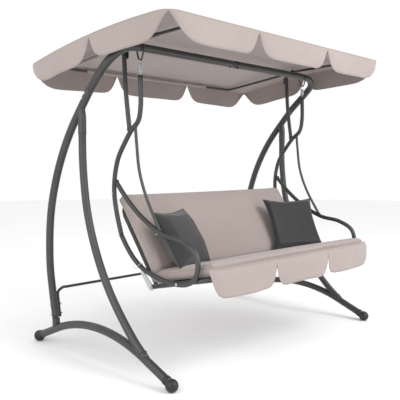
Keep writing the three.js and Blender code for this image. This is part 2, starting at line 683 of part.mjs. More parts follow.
function moveVertices(geometry, place) {
  const position = geometry.attributes.position;
  for (let i = 0; i < position.count; i++) {
    const from = [position.getX(i), position.getY(i), position.getZ(i)];
    position.setXYZ(i, ...place(from));
  }
  geometry.computeVertexNormals();
  return geometry;
}

// Edge of the canopy's flaps: wide notches between them, with straight sides.
function canopyFlapEdge(from, to, count) {
  const points = [];
  const width = (to - from) / count;
  const slope = 40;
  for (let i = 0; i < count; i++) {
    const start = from + width * i;
    const end = start + width;
    points.push([start + 5, CANOPY_DROP * 0.15], [start + slope, CANOPY_DROP]);
    points.push([end - slope, CANOPY_DROP], [end - 5, CANOPY_DROP * 0.15]);
  }
  return points;
}

// A row of flaps that hangs from one edge of the roof: drawn flat, then wrapped to its edge.
function flapRow(from, to, count, place) {
  const top = [];
  const steps = 8;
  for (let i = 0; i <= steps; i++) top.push([to + ((from - to) * i) / steps, 0]);
  const outline = [...top, ...canopyFlapEdge(from, to, count)];
  const shape = new THREE.Shape(outline.map(([along, drop]) => new THREE.Vector2(along, -drop)));
  const row = new THREE.ExtrudeGeometry(shape, { depth: CANOPY_CLOTH, bevelEnabled: false });
  return moveVertices(row, place);
}

function buildCanopyCloth() {
  const [frontY] = CANOPY_FRONT;
  const [rearY] = CANOPY_REAR;
  const inset = CANOPY_CLOTH / 2;
  const front = flapRow(-CANOPY_HALF, CANOPY_HALF, 3, ([x, z, t]) =>
    [x, frontY + CANOPY_CLOTH - t, z + roofHeight(x, frontY) + inset]);
  const rear = flapRow(-CANOPY_HALF, CANOPY_HALF, 3, ([x, z, t]) =>
    [x, rearY - t, z + roofHeight(x, rearY) + inset]);
  const sides = [-1, 1].map((sign) => flapRow(frontY, rearY, 2, ([y, z, t]) =>
    [sign * CANOPY_HALF + (sign > 0 ? t - CANOPY_CLOTH : t), y, z + roofHeight(CANOPY_HALF, y) + inset]));
  addMesh('canopy_cloth', join(roofSheet(), front, rear, ...sides), canopyCloth);
}

// ---- the whole bench --------------------------------------------------------------------------------------
const pairedParts = [
  buildBow, buildFeet, buildStub, buildRearLeg, buildFrontLeg, buildBeamHalf, buildCrossbarBolts,
];
const hangingParts = [
  buildHook, buildSpring, buildHanger, buildArmLoop, buildStrut, buildPost, buildCanopyBracket,
  buildArmBolt, buildReclineClip,
];
const railParts = [buildSeatRail, buildHingePlate, buildHingeBolt];

for (const [side, sign] of [['left', -1], ['right', 1]]) {
  for (const build of pairedParts) build(side, sign * FRAME_X);
  for (const build of hangingParts) build(side, sign * HANGER_X);
  for (const build of railParts) build(side, sign * RAIL_X);
  buildCanopyKnob(side, sign * CANOPY_ARM_X);
}
addMesh('beam_sleeve', beamSleeve(0), zinc);
buildCrossbar();
buildSeatBars();
buildSeatSling();
buildSeatCushion();
buildSeatValance();
buildBackrestFrame();
buildBackrestBar();
buildBackrestSling();
buildBackCushion();
buildPillow('left', [-530, -262, 650], 22, 32);
buildPillow('right', [443, -284, 653], -24, 30);
buildCanopyHoops();
buildCanopyCloth();

export default bench;
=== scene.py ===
"""Looks of a three-seat canopy swing bench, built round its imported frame, in metres."""

from __future__ import annotations

import json
import logging
import math
from dataclasses import dataclass
from enum import Enum
from functools import cached_property
from typing import Callable, Sequence

import bmesh
import bpy
from mathutils import Matrix, Vector, noise
from mathutils.bvhtree import BVHTree

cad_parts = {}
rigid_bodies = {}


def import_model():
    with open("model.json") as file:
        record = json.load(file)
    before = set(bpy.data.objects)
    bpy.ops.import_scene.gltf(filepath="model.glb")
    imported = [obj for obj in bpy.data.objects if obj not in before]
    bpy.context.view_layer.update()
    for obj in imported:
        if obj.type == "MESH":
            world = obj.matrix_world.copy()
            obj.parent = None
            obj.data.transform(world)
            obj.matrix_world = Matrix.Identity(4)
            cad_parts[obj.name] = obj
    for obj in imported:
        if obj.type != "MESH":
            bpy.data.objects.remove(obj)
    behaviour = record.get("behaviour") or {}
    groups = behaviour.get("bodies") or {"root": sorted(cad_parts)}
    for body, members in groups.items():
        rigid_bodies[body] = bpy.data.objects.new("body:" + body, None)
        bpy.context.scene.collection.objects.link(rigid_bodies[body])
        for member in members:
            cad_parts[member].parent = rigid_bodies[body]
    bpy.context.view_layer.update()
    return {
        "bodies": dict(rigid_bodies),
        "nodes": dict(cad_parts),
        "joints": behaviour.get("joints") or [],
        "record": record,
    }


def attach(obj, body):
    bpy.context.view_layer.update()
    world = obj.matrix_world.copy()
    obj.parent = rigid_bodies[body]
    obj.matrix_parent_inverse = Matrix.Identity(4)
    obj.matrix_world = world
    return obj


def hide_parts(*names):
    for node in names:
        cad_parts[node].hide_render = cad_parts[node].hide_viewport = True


LOG = logging.getLogger("swing_bench")
DATUM_SHIFT = 0.0325  # the bench's drawing datum sits this far in front of its middle
SIDES: tuple[tuple[str, int], ...] = (("left", -1), ("right", 1))

# Radii in metres.
MAIN_R = 0.021
LEG_R = 0.020
HANGER_R = 0.0125
POST_R = 0.012
BACK_R = 0.010
THIN_R = 0.008
HOOK_R = 0.004
WIRE_R = 0.0019
PIPING_R = 0.0022
HEM_R = 0.0019
BEAD_R = 0.0028

Route = Sequence[Sequence[float]]
Stop = tuple[float, float]
Socket = bpy.types.NodeSocket
Piece = bpy.types.Object
Grid = bmesh.types.BMesh


class Body(str, Enum):
    """The four rigid groups of the bench."""

    STAND = "frame"
    SEAT = "seat"
    BACKREST = "backrest"
    CANOPY = "canopy"


class Slot(str, Enum):
    """The finishes named in the record."""

    PAINT = "paint"
    ZINC = "zinc"
    PLASTIC = "black_plastic"
    CANOPY = "canopy_cloth"
    CUSHION = "cushion_cloth"
    SLING = "sling_cloth"
    PILLOW = "pillow_cloth"


def at(x: float, y: float, z: float) -> Vector:
    """A point given in millimetres from the drawing datum, in the frame's metres."""
    return Vector((x / 1000, y / 1000 + DATUM_SHIFT, z / 1000))


# ---- finishes -------------------------------------------------------------------------


class Shader:
    """A new material and short ways to wire it."""

    def __init__(self, name: str) -> None:
        """Starts a material with one Principled shader."""
        self.material = bpy.data.materials.new(name)
        self.material.use_nodes = True
        self.nodes = self.material.node_tree.nodes
        self.links = self.material.node_tree.links
        self.main = self.nodes["Principled BSDF"]

    def set(self, **values: float) -> None:
        """Sets sockets of the Principled shader, with _ for a space in a name."""
        for name, value in values.items():
            self.main.inputs[name.replace("_", " ")].default_value = value

    def add(self, kind: str, **values: object) -> bpy.types.Node:
        """Adds a node and sets its named inputs."""
        node = self.nodes.new(kind)
        for name, value in values.items():
            node.inputs[name].default_value = value
        return node

    def coordinates(self) -> Socket:
        """Object coordinates, which are the frame's metres."""
        return self.nodes.new("ShaderNodeTexCoord").outputs["Object"]

    def noise(self, scale: float, detail: float = 3.0, roughness: float = 0.5) -> Socket:
        """A noise value over the object."""
        node = self.add("ShaderNodeTexNoise", Scale=scale, Detail=detail, Roughness=roughness)
        self.links.new(self.coordinates(), node.inputs["Vector"])
        return node.outputs["Fac"]

    def bands(self, axis: str, scale: float) -> Socket:
        """Sine bands across one axis."""
        node = self.add("ShaderNodeTexWave", Scale=scale)
        node.bands_direction = axis
        self.links.new(self.coordinates(), node.inputs["Vector"])
        return node.outputs["Fac"]

    def sum(self, first: Socket, second: Socket, weight: float = 1.0) -> Socket:
        """first plus weight times second."""
        node = self.nodes.new("ShaderNodeMath")
        node.operation = "MULTIPLY_ADD"
        self.links.new(second, node.inputs[0])
        node.inputs[1].default_value = weight
        self.links.new(first, node.inputs[2])
        return node.outputs[0]

    def weave(self, scale: float, axes: str) -> Socket:
        """Bands across all three axes added up, in the order given."""
        total = self.bands(axes[0], scale)
        for axis in axes[1:]:
            total = self.sum(total, self.bands(axis, scale))
        return total

    def tint(self, value: Socket, tone: Sequence[float], low: Stop, high: Stop) -> None:
        """Wires the base colour as a tone between two (position, brightness) stops."""
        self.colour(self.ramp(value, [(place, shade(tone, bright)) for place, bright in (low, high)]))

    def ramp(self, value: Socket, stops: Sequence[tuple[float, Sequence[float]]]) -> Socket:
        """A colour ramp through (position, colour) stops."""
        node = self.nodes.new("ShaderNodeValToRGB")
        elements = node.color_ramp.elements
        while len(elements) < len(stops):
            elements.new(0.5)
        for element, (position, colour) in zip(elements, stops):
            element.position = position
            element.color = (*colour, 1)
        self.links.new(value, node.inputs["Fac"])
        return node.outputs["Color"]

    def colour(self, socket: Socket) -> None:
        """Wires the base colour."""
        self.links.new(socket, self.main.inputs["Base Color"])

    def roughness(self, value: Socket, low: float, high: float) -> None:
        """Wires roughness between two values."""
        node = self.add("ShaderNodeMapRange")
        node.inputs["To Min"].default_value = low
        node.inputs["To Max"].default_value = high
        self.links.new(value, node.inputs["Value"])
        self.links.new(node.outputs["Result"], self.main.inputs["Roughness"])

    def bump(self, height: Socket, strength: float, distance: float) -> None:
        """Wires a bump of that height in metres."""
        node = self.add("ShaderNodeBump", Strength=strength, Distance=distance)
        self.links.new(height, node.inputs["Height"])
        self.links.new(node.outputs["Normal"], self.main.inputs["Normal"])


def shade(colour: Sequence[float], factor: float) -> tuple[float, ...]:
    """A colour made lighter or darker."""
    return tuple(min(1.0, part * factor) for part in colour)


@dataclass(frozen=True)
class Finish:
    """What a surface is made of."""

    name: str
    tone: tuple[float, float, float]
    slot: Slot

    def material(self) -> bpy.types.Material:
        """The finish's material, made on first use."""
        return bpy.data.materials.get(self.name) or self.make()

    def make(self) -> bpy.types.Material:
        """Builds the material."""
        raise NotImplementedError


@dataclass(frozen=True)
class PowderCoat(Finish):
    """Stoved powder coat with a fine orange peel and a cloudy tone with fine specks."""

    def make(self) -> bpy.types.Material:
        """Builds the paint."""
        shader = Shader(self.name)
        cloudy = shader.noise(9, 4)
        speckle = shader.noise(700, 2)
        tone = shader.sum(cloudy, speckle, 0.35)
        shader.tint(tone, self.tone, (0.35, 0.8), (0.95, 1.25))
        shader.roughness(cloudy, 0.36, 0.5)
        shader.bump(shader.sum(shader.noise(420, 2), speckle, 0.5), 0.22, 0.0006)
        shader.set(Metallic=0.25, Specular_IOR_Level=0.5, Coat_Weight=0.12, Coat_Roughness=0.3)
        return shader.material


@dataclass(frozen=True)
class ZincPlate(Finish):
    """Bright zinc plate with a faint spangle and brushed scratches."""

    def make(self) -> bpy.types.Material:
        """Builds the plating."""
        shader = Shader(self.name)
        spangle = shader.noise(160, 3)
        shader.tint(spangle, self.tone, (0.3, 0.78), (0.75, 1.12))
        shader.roughness(spangle, 0.22, 0.42)
        shader.bump(shader.noise(900, 2), 0.15, 0.0003)
        shader.set(Metallic=1.0)
        return shader.material


@dataclass(frozen=True)
class MouldedPlastic(Finish):
    """Black moulded plastic with a spark-eroded grain."""

    def make(self) -> bpy.types.Material:
        """Builds the plastic."""
        shader = Shader(self.name)
        cloudy = shader.noise(25, 3)
        shader.tint(cloudy, self.tone, (0.3, 0.8), (0.8, 1.5))
        shader.roughness(cloudy, 0.38, 0.55)
        shader.bump(shader.noise(1100, 2), 0.3, 0.0004)
        return shader.material


@dataclass(frozen=True)
class WovenCloth(Finish):
    """Plain-weave polyester, with slubs, a little sun fading and soft creases."""

    thread: float = 0.0016
    crease: float = 0.35
    sheen: float = 0.25

    def make(self) -> bpy.types.Material:
        """Builds the cloth."""
        shader = Shader(self.name)
        band_scale = 2 * math.pi / 20 / self.thread
        weave = shader.weave(band_scale, "XYZ")
        fading = shader.noise(2.4, 4)
        slubs = shader.noise(240, 2)
        tone = shader.sum(shader.sum(fading, slubs, 0.3), weave, 0.08)
        shader.tint(tone, self.tone, (0.35, 0.9), (1.05, 1.08))
        shader.roughness(slubs, 0.78, 0.95)
        creases = shader.sum(shader.noise(14, 5, 0.6), weave, 0.035)
        shader.bump(creases, self.crease, 0.012)
        shader.set(Specular_IOR_Level=0.2, Sheen_Weight=self.sheen, Sheen_Roughness=0.5)
        return shader.material


@dataclass(frozen=True)
class MeshCloth(Finish):
    """Coated mesh of coarse threads, used for the slings under the cushions."""

    def make(self) -> bpy.types.Material:
        """Builds the mesh."""
        shader = Shader(self.name)
        weave = shader.weave(95, "XZY")
        shader.tint(weave, self.tone, (0.3, 0.5), (0.9, 1.6))
        shader.roughness(shader.noise(60, 2), 0.5, 0.7)
        shader.bump(weave, 0.5, 0.0008)
        return shader.material


PAINT = PowderCoat("anthracite_powder_coat", (0.043, 0.0435, 0.044), Slot.PAINT)
ZINC = ZincPlate("bright_zinc", (0.62, 0.63, 0.64), Slot.ZINC)
PLASTIC = MouldedPlastic("black_moulded_plastic", (0.012, 0.012, 0.013), Slot.PLASTIC)
TAUPE = (0.335, 0.282, 0.265)
CANOPY_CLOTH = WovenCloth("taupe_canopy_cloth", TAUPE, Slot.CANOPY, crease=0.25)
CUSHION_CLOTH = WovenCloth("taupe_cushion_cloth", TAUPE, Slot.CUSHION, crease=0.4)
CHARCOAL = (0.038, 0.0385, 0.039)
PILLOW_CLOTH = WovenCloth("charcoal_pillow_cloth", CHARCOAL, Slot.PILLOW, thread=0.002, crease=0.5)
SLING_CLOTH = MeshCloth("dark_mesh_cloth", (0.03, 0.03, 0.032), Slot.SLING)


# ---- mesh work ------------------------------------------------------------------------


def smooth_route(route: Route, per_span: int = 8) -> list[Vector]:
    """A smooth line through points, as the bent tubes follow.

    Args:
        route: points in the frame's metres.
        per_span: steps between two points.

    Returns:
        The points of the line, ends included.
    """
    knots = [Vector(p) for p in route]
    knots = [2 * knots[0] - knots[1], *knots, 2 * knots[-1] - knots[-2]]
    line: list[Vector] = []
    for before, start, end, after in zip(knots, knots[1:], knots[2:], knots[3:]):
        spans = ((before, start), (start, end), (end, after))
        gaps = [max(math.sqrt((q - p).length), 1e-6) for p, q in spans]
        lead = (start - before) / gaps[0] - (end - before) / (gaps[0] + gaps[1]) + (end - start) / gaps[1]
        exit_ = (end - start) / gaps[1] - (after - start) / (gaps[1] + gaps[2]) + (after - end) / gaps[2]
        lead, exit_ = lead * gaps[1], exit_ * gaps[1]
        for step in range(per_span):
            t = step / per_span
            cubic = 2 * start - 2 * end + lead + exit_
            square = -3 * start + 3 * end - 2 * lead - exit_
            line.append(start + lead * t + square * t * t + cubic * t ** 3)
    line.append(knots[-2])
    return line


def finished(piece: Piece, finish: Finish, body: Body, node: str | None = None) -> Piece:
    """Gives a piece its finish and body, and hides the frame's node it stands for, if any."""
    piece.data.materials.clear()
    piece.data.materials.append(finish.material())
    for polygon in piece.data.polygons:
        polygon.use_smooth = True
    if node:
        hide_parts(node)
    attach(piece, body.value)
    LOG.info("%s: %d faces, rides on %s", piece.name, len(piece.data.polygons), body.value)
    return piece


def subdivided(piece: Piece) -> None:
    """Rounds a piece by one level of subdivision."""
    smooth = piece.modifiers.new("smooth", "SUBSURF")
    smooth.levels = smooth.render_levels = 1


def piece_from(bm: Grid, name: str) -> Piece:
    """Turns a bmesh into a linked object at the origin."""
    mesh = bpy.data.meshes.new(name)
    bm.to_mesh(mesh)
    bm.free()
    piece = bpy.data.objects.new(name, mesh)
    bpy.context.scene.collection.objects.link(piece)
    return piece


def swept(name: str, line: Sequence[Vector], radius: float, closed: bool = False, rings: int = 5) -> Piece:
    """A round tube along a line.

    Args:
        name: the piece's name.
        line: points in the frame's metres.
        radius: of the tube, in metres.
        closed: whether the line ends where it starts.
        rings: how finely the section is rounded.

    Returns:
        The tube as a mesh, with closed ends.
    """
    curve = bpy.data.curves.new(name, "CURVE")
    curve.dimensions = "3D"
    curve.bevel_depth = radius
    curve.bevel_resolution = rings
    curve.use_fill_caps = not closed
    spline = curve.splines.new("POLY")
    spline.points.add(len(line) - 1)
    for point, place in zip(spline.points, line):
        point.co = (*place, 1)
    spline.use_cyclic_u = closed
    guide = bpy.data.objects.new(name + "_line", curve)
    bpy.context.scene.collection.objects.link(guide)
    mesh = bpy.data.meshes.new_from_object(guide.evaluated_get(bpy.context.evaluated_depsgraph_get()))
    bpy.data.objects.remove(guide)
    bm = bmesh.new()
    bm.from_mesh(mesh)
    bmesh.ops.remove_doubles(bm, verts=bm.verts, dist=1e-6)
    bmesh.ops.recalc_face_normals(bm, faces=bm.faces)
    bpy.data.meshes.remove(mesh)
    return piece_from(bm, name)


def in_plane(x: float, points: Route) -> list[Vector]:
    """Points given as (y, z) in a plane of constant x, in millimetres."""
    return [at(x, y, z) for y, z in points]


def round_caps(bm: Grid, width: float) -> None:
    """Bevels every sharp edge of a turned or cut piece."""
    sharp = [e for e in bm.edges if len(e.link_faces) == 2 and e.calc_face_angle() > 0.6]
    bmesh.ops.bevel(bm, geom=sharp, offset=width, segments=3, profile=0.5, affect="EDGES", material=-1)


def screw_head(name: str, centre: Vector, facing: Vector, radius: float) -> Piece:
    """A domed screw head with a hexagon socket.

    Args:
        name: the piece's name.
        centre: middle of its seat.
        facing: the way it looks.
        radius: of the head, in metres.

    Returns:
        The head.
    """
    bm = bmesh.new()
    made = bmesh.ops.create_cone(
        bm, cap_ends=True, segments=20, radius1=radius, radius2=radius * 0.75, depth=radius * 0.8)
    bmesh.ops.translate(bm, verts=made["verts"], vec=(0, 0, radius * 0.4))
    round_caps(bm, radius * 0.18)
    top = max(bm.faces, key=lambda f: f.calc_center_median().z)
    bmesh.ops.inset_individual(bm, faces=[top], thickness=radius * 0.28, depth=-radius * 0.3)
    turn = facing.normalized().to_track_quat("Z", "Y").to_matrix().to_4x4()
    bmesh.ops.transform(bm, matrix=Matrix.Translation(centre) @ turn, verts=bm.verts)
    return piece_from(bm, name)


def weld_bead(name: str, centre: Vector, axis: Vector, radius: float) -> Piece:
    """A weld bead round a tube's end.

    Args:
        name: the piece's name.
        centre: middle of the joint.
        axis: along the tube.
        radius: of the tube, in metres.

    Returns:
        The bead.
    """
    turn = axis.normalized().to_track_quat("Z", "Y").to_matrix()
    steps, lumps, coped = 40, 9, 1.15
    line = []
    for step in range(steps):
        angle = step * math.tau / steps
        lumpy = 1 + 0.03 * math.sin(lumps * angle)
        offset = Vector((radius * lumpy * math.cos(angle), radius * lumpy * math.sin(angle) * coped, 0))
        line.append(centre + turn @ offset)
    return swept(name, line, BEAD_R, closed=True, rings=2)


def add_welds(side: str, body: Body, welds: dict[str, tuple[Vector, Vector, float]]) -> None:
    """Adds the weld beads of one side, each from its centre, axis and tube radius."""
    for name, (centre, axis, radius) in welds.items():
        finished(weld_bead(f"weld_{name}_{side}", centre, axis, radius), PAINT, body)


def add_heads(
        kind: str, side: str, x: float, radius: float, body: Body,
        places: dict[str, tuple[float, float]]) -> None:
    """Adds zinc screw heads that look outwards from one side, each at its (y, z)."""
    outward = Vector((math.copysign(1, x), 0, 0))
    for name, (y, z) in places.items():
        finished(screw_head(f"{kind}_{name}_{side}", at(x, y, z), outward, radius), ZINC, body)


def add_grid(bm: Grid, columns: int, rows: int, place: Callable[[int, int], Vector]) -> None:
    """Adds a grid whose points are put in place one by one.

    Args:
        bm: the mesh it is added to.
        columns: grid steps along.
        rows: grid steps down.
        place: gives a point from its column and row.
    """
    made = bmesh.ops.create_grid(bm, x_segments=columns, y_segments=rows, size=0.5, calc_uvs=True)
    for vert in made["verts"]:
        vert.co = place(round((vert.co.x + 0.5) * columns), round((vert.co.y + 0.5) * rows))


def surface(name: str, columns: int, rows: int, place: Callable[[int, int], Vector]) -> Piece:
    """A sheet made of one placed grid, with a UV map that follows it."""
    bm = bmesh.new()
    bm.loops.layers.uv.new("UVMap")
    add_grid(bm, columns, rows, place)
    return piece_from(bm, name)


def give_thickness(piece: Piece, thickness: float) -> None:
    """Adds subdivision and a cloth's thickness to a sheet."""
    subdivided(piece)
    solid = piece.modifiers.new("cloth", "SOLIDIFY")
    solid.thickness = thickness
    solid.offset = 0


def ripple(x: float, y: float, scale: float, seed: float = 0.0) -> float:
    """A smooth repeatable wave between about -1 and 1."""
    return noise.noise(Vector((x / scale, y / scale, seed)))


def flap_depth(distance: float, depth: float, band: float, softness: float, power: float) -> float:
    """How far a flap hangs at a distance from the nearest notch, in millimetres."""
    return band + (depth - band) * (1 - math.exp(-((distance / softness) ** power)))


def flap_steps(start: float, end: float, pitch: float) -> list[float]:
    """Places along a flap, close together next to its two notches."""
    near = [0, 3, 7, 13, 21, 32, 47, 68]
    width = end - start
    near = [step for step in near if step < width / 2 - 5]
    middle_from, middle_to = near[-1], width - near[-1]
    count = max(1, round((middle_to - middle_from) / pitch))
    middle = [middle_from + (middle_to - middle_from) * i / count for i in range(1, count)]
    return [start + step for step in [*near, *middle, *[width - step for step in reversed(near)][:-1]]]


# ---- the stand ------------------------------------------------------------------------


@dataclass
class Stand:
    """Curved legs on two bows, the top beam, the crossbar and the feet."""

    frame_x: float = 862
    foot_r: float = 31
    foot_flat: float = 1.5
    foot_front: float = -555
    foot_rear: float = 575
    bow_top: float = 184
    bow_bend: float = 983
    bow_slope: float = math.radians(22.5)
    beam: tuple[float, float] = (-161, 1609)
    rear_leg: Route = (
        (397, 170), (426, 311), (448, 454), (447, 630), (427, 776), (383, 919), (320, 1056), (226, 1202),
        (45.4, 1407.6))
    front_leg: Route = (
        (128, 1322), (121, 1268), (120, 1190), (119, 1059), (108, 926), (86, 794), (46, 664), (-18, 522),
        (-99, 391), (-192, 278), (-298, 172), (-375, 112))

    def bow_height(self, y: float) -> float:
        """Height of the bow's centre line, in millimetres."""
        off = abs(y - (self.foot_front + self.foot_rear) / 2)
        half = self.bow_bend * math.sin(self.bow_slope)
        if off <= half:
            return self.bow_top - (self.bow_bend - math.sqrt(self.bow_bend**2 - off**2))
        drop = self.bow_bend * (1 - math.cos(self.bow_slope))
        return self.bow_top - drop - (off - half) * math.tan(self.bow_slope)

    def tube(self, name: str, line: Sequence[Vector], radius: float | None = None) -> Piece:
        """A painted stand tube that stands for the frame's own."""
        return finished(swept(name + "_tube", line, radius or MAIN_R, rings=7), PAINT, Body.STAND, name)

    def build_side(self, side: str, sign: int) -> None:
        """Builds one side frame."""
        x = sign * self.frame_x
        steps = 48
        span = self.foot_rear - self.foot_front - 30
        ys = [self.foot_front + 15 + span * i / steps for i in range(steps + 1)]
        self.tube(f"base_bow_{side}", [at(x, y, self.bow_height(y)) for y in ys])
        self.tube(f"rear_leg_{side}", smooth_route(in_plane(x, self.rear_leg)))
        self.tube(f"front_leg_{side}", smooth_route(in_plane(x, self.front_leg)), LEG_R)
        stub = in_plane(x, [(386, self.bow_height(385) + 4), (391, 120), (396, 166)])
        self.tube(f"leg_stub_{side}", smooth_route(stub, 4), 0.0212)
        self.build_joints(side, sign, x)

    def build_joints(self, side: str, sign: int, x: float) -> None:
        """Adds the joints' sleeves, welds and screws of one side frame."""
        collar = smooth_route(in_plane(x, [(120, 1180), (120.2, 1215), (121, 1268), (128, 1306)]))
        finished(swept(f"leg_collar_{side}", collar, 0.0214, rings=7), PAINT, Body.STAND)
        welds = {
            "front_leg_foot": (at(x, -352, 128), Vector((0, -0.75, -0.66)), LEG_R),
            "stub_foot": (at(x, 389, self.bow_height(388) + 21), Vector((0, 0.1, 1)), MAIN_R),
            "front_leg_head": (at(x, 134, 1303), Vector((0, -0.1, 1)), LEG_R),
        }
        add_welds(side, Body.STAND, welds)
        heads = {"upper": (67, 1386), "lower": (90, 1362)}
        add_heads("leg_screw", side, x + sign * 20.4, 0.0055, Body.STAND, heads)

    def build_beam(self, side: str, sign: int) -> None:
        """Builds one half of the top beam and its screw."""
        x, (y, z) = sign * self.frame_x, self.beam
        route = [
            at(x, 45, 1408), at(x, -8, 1455), at(x * 0.997, -82, 1518), at(x * 0.977, -134, 1561),
            at(x * 0.925, -157, 1594), at(x * 0.85, y, 1607), at(x * 0.74, y, z), at(x * 0.4, y, z),
            at(sign * 0.8, y, z),
        ]
        self.tube(f"top_beam_{side}", smooth_route(route))
        head = screw_head(f"beam_screw_{side}", at(sign * 34, y - 6, z - 19.6), Vector((0, -0.3, -1)), 0.0062)
        finished(head, PLASTIC, Body.STAND)

    def build_crossbar(self) -> None:
        """Builds the bent crossbar behind the legs."""
        inner = 832.5
        half = [
            (inner, 401, 168), (inner, 417, 262), (inner - 4, 424, 305), (inner - 36, 425, 326),
            (inner - 61, 425, 326)]
        route = [at(-x, y, z) for x, y, z in half] + [at(*p) for p in reversed(half)]
        self.tube("rear_crossbar", smooth_route(route, 10), THIN_R)

    def build_foot(self, side: str, sign: int, end: str) -> None:
        """Builds a ball foot with the collar that grips the bow."""
        y = self.foot_front if end == "front" else self.foot_rear
        centre = at(sign * self.frame_x, y, self.foot_r - self.foot_flat)
        bm = bmesh.new()
        bmesh.ops.create_uvsphere(bm, u_segments=36, v_segments=24, radius=self.foot_r / 1000)
        bmesh.ops.translate(bm, verts=bm.verts, vec=centre)
        everything = bm.verts[:] + bm.edges[:] + bm.faces[:]
        cut = bmesh.ops.bisect_plane(
            bm, geom=everything, plane_co=(0, 0, 0), plane_no=(0, 0, 1), clear_inner=True)
        rim = [e for e in cut["geom_cut"] if isinstance(e, bmesh.types.BMEdge)]
        bmesh.ops.holes_fill(bm, edges=rim)
        bmesh.ops.recalc_face_normals(bm, faces=bm.faces)
        ball = piece_from(bm, f"ball_foot_{end}_{side}")
        finished(ball, PLASTIC, Body.STAND, f"foot_ball_{end}_{side}")
        inward = 1 if end == "front" else -1
        ys = [y + inward * step for step in (24, 30, 36, 41)]
        collar = [at(sign * self.frame_x, v, self.bow_height(v)) for v in ys]
        finished(swept(f"foot_collar_{end}_{side}", collar, 0.0235, rings=7), PLASTIC, Body.STAND)

    def build(self) -> None:
        """Builds the whole stand."""
        for side, sign in SIDES:
            self.build_side(side, sign)
            self.build_beam(side, sign)
            self.build_foot(side, sign, "front")
            self.build_foot(side, sign, "rear")
        self.build_crossbar()


# ---- springs and the hanging seat frame -----------------------------------------------


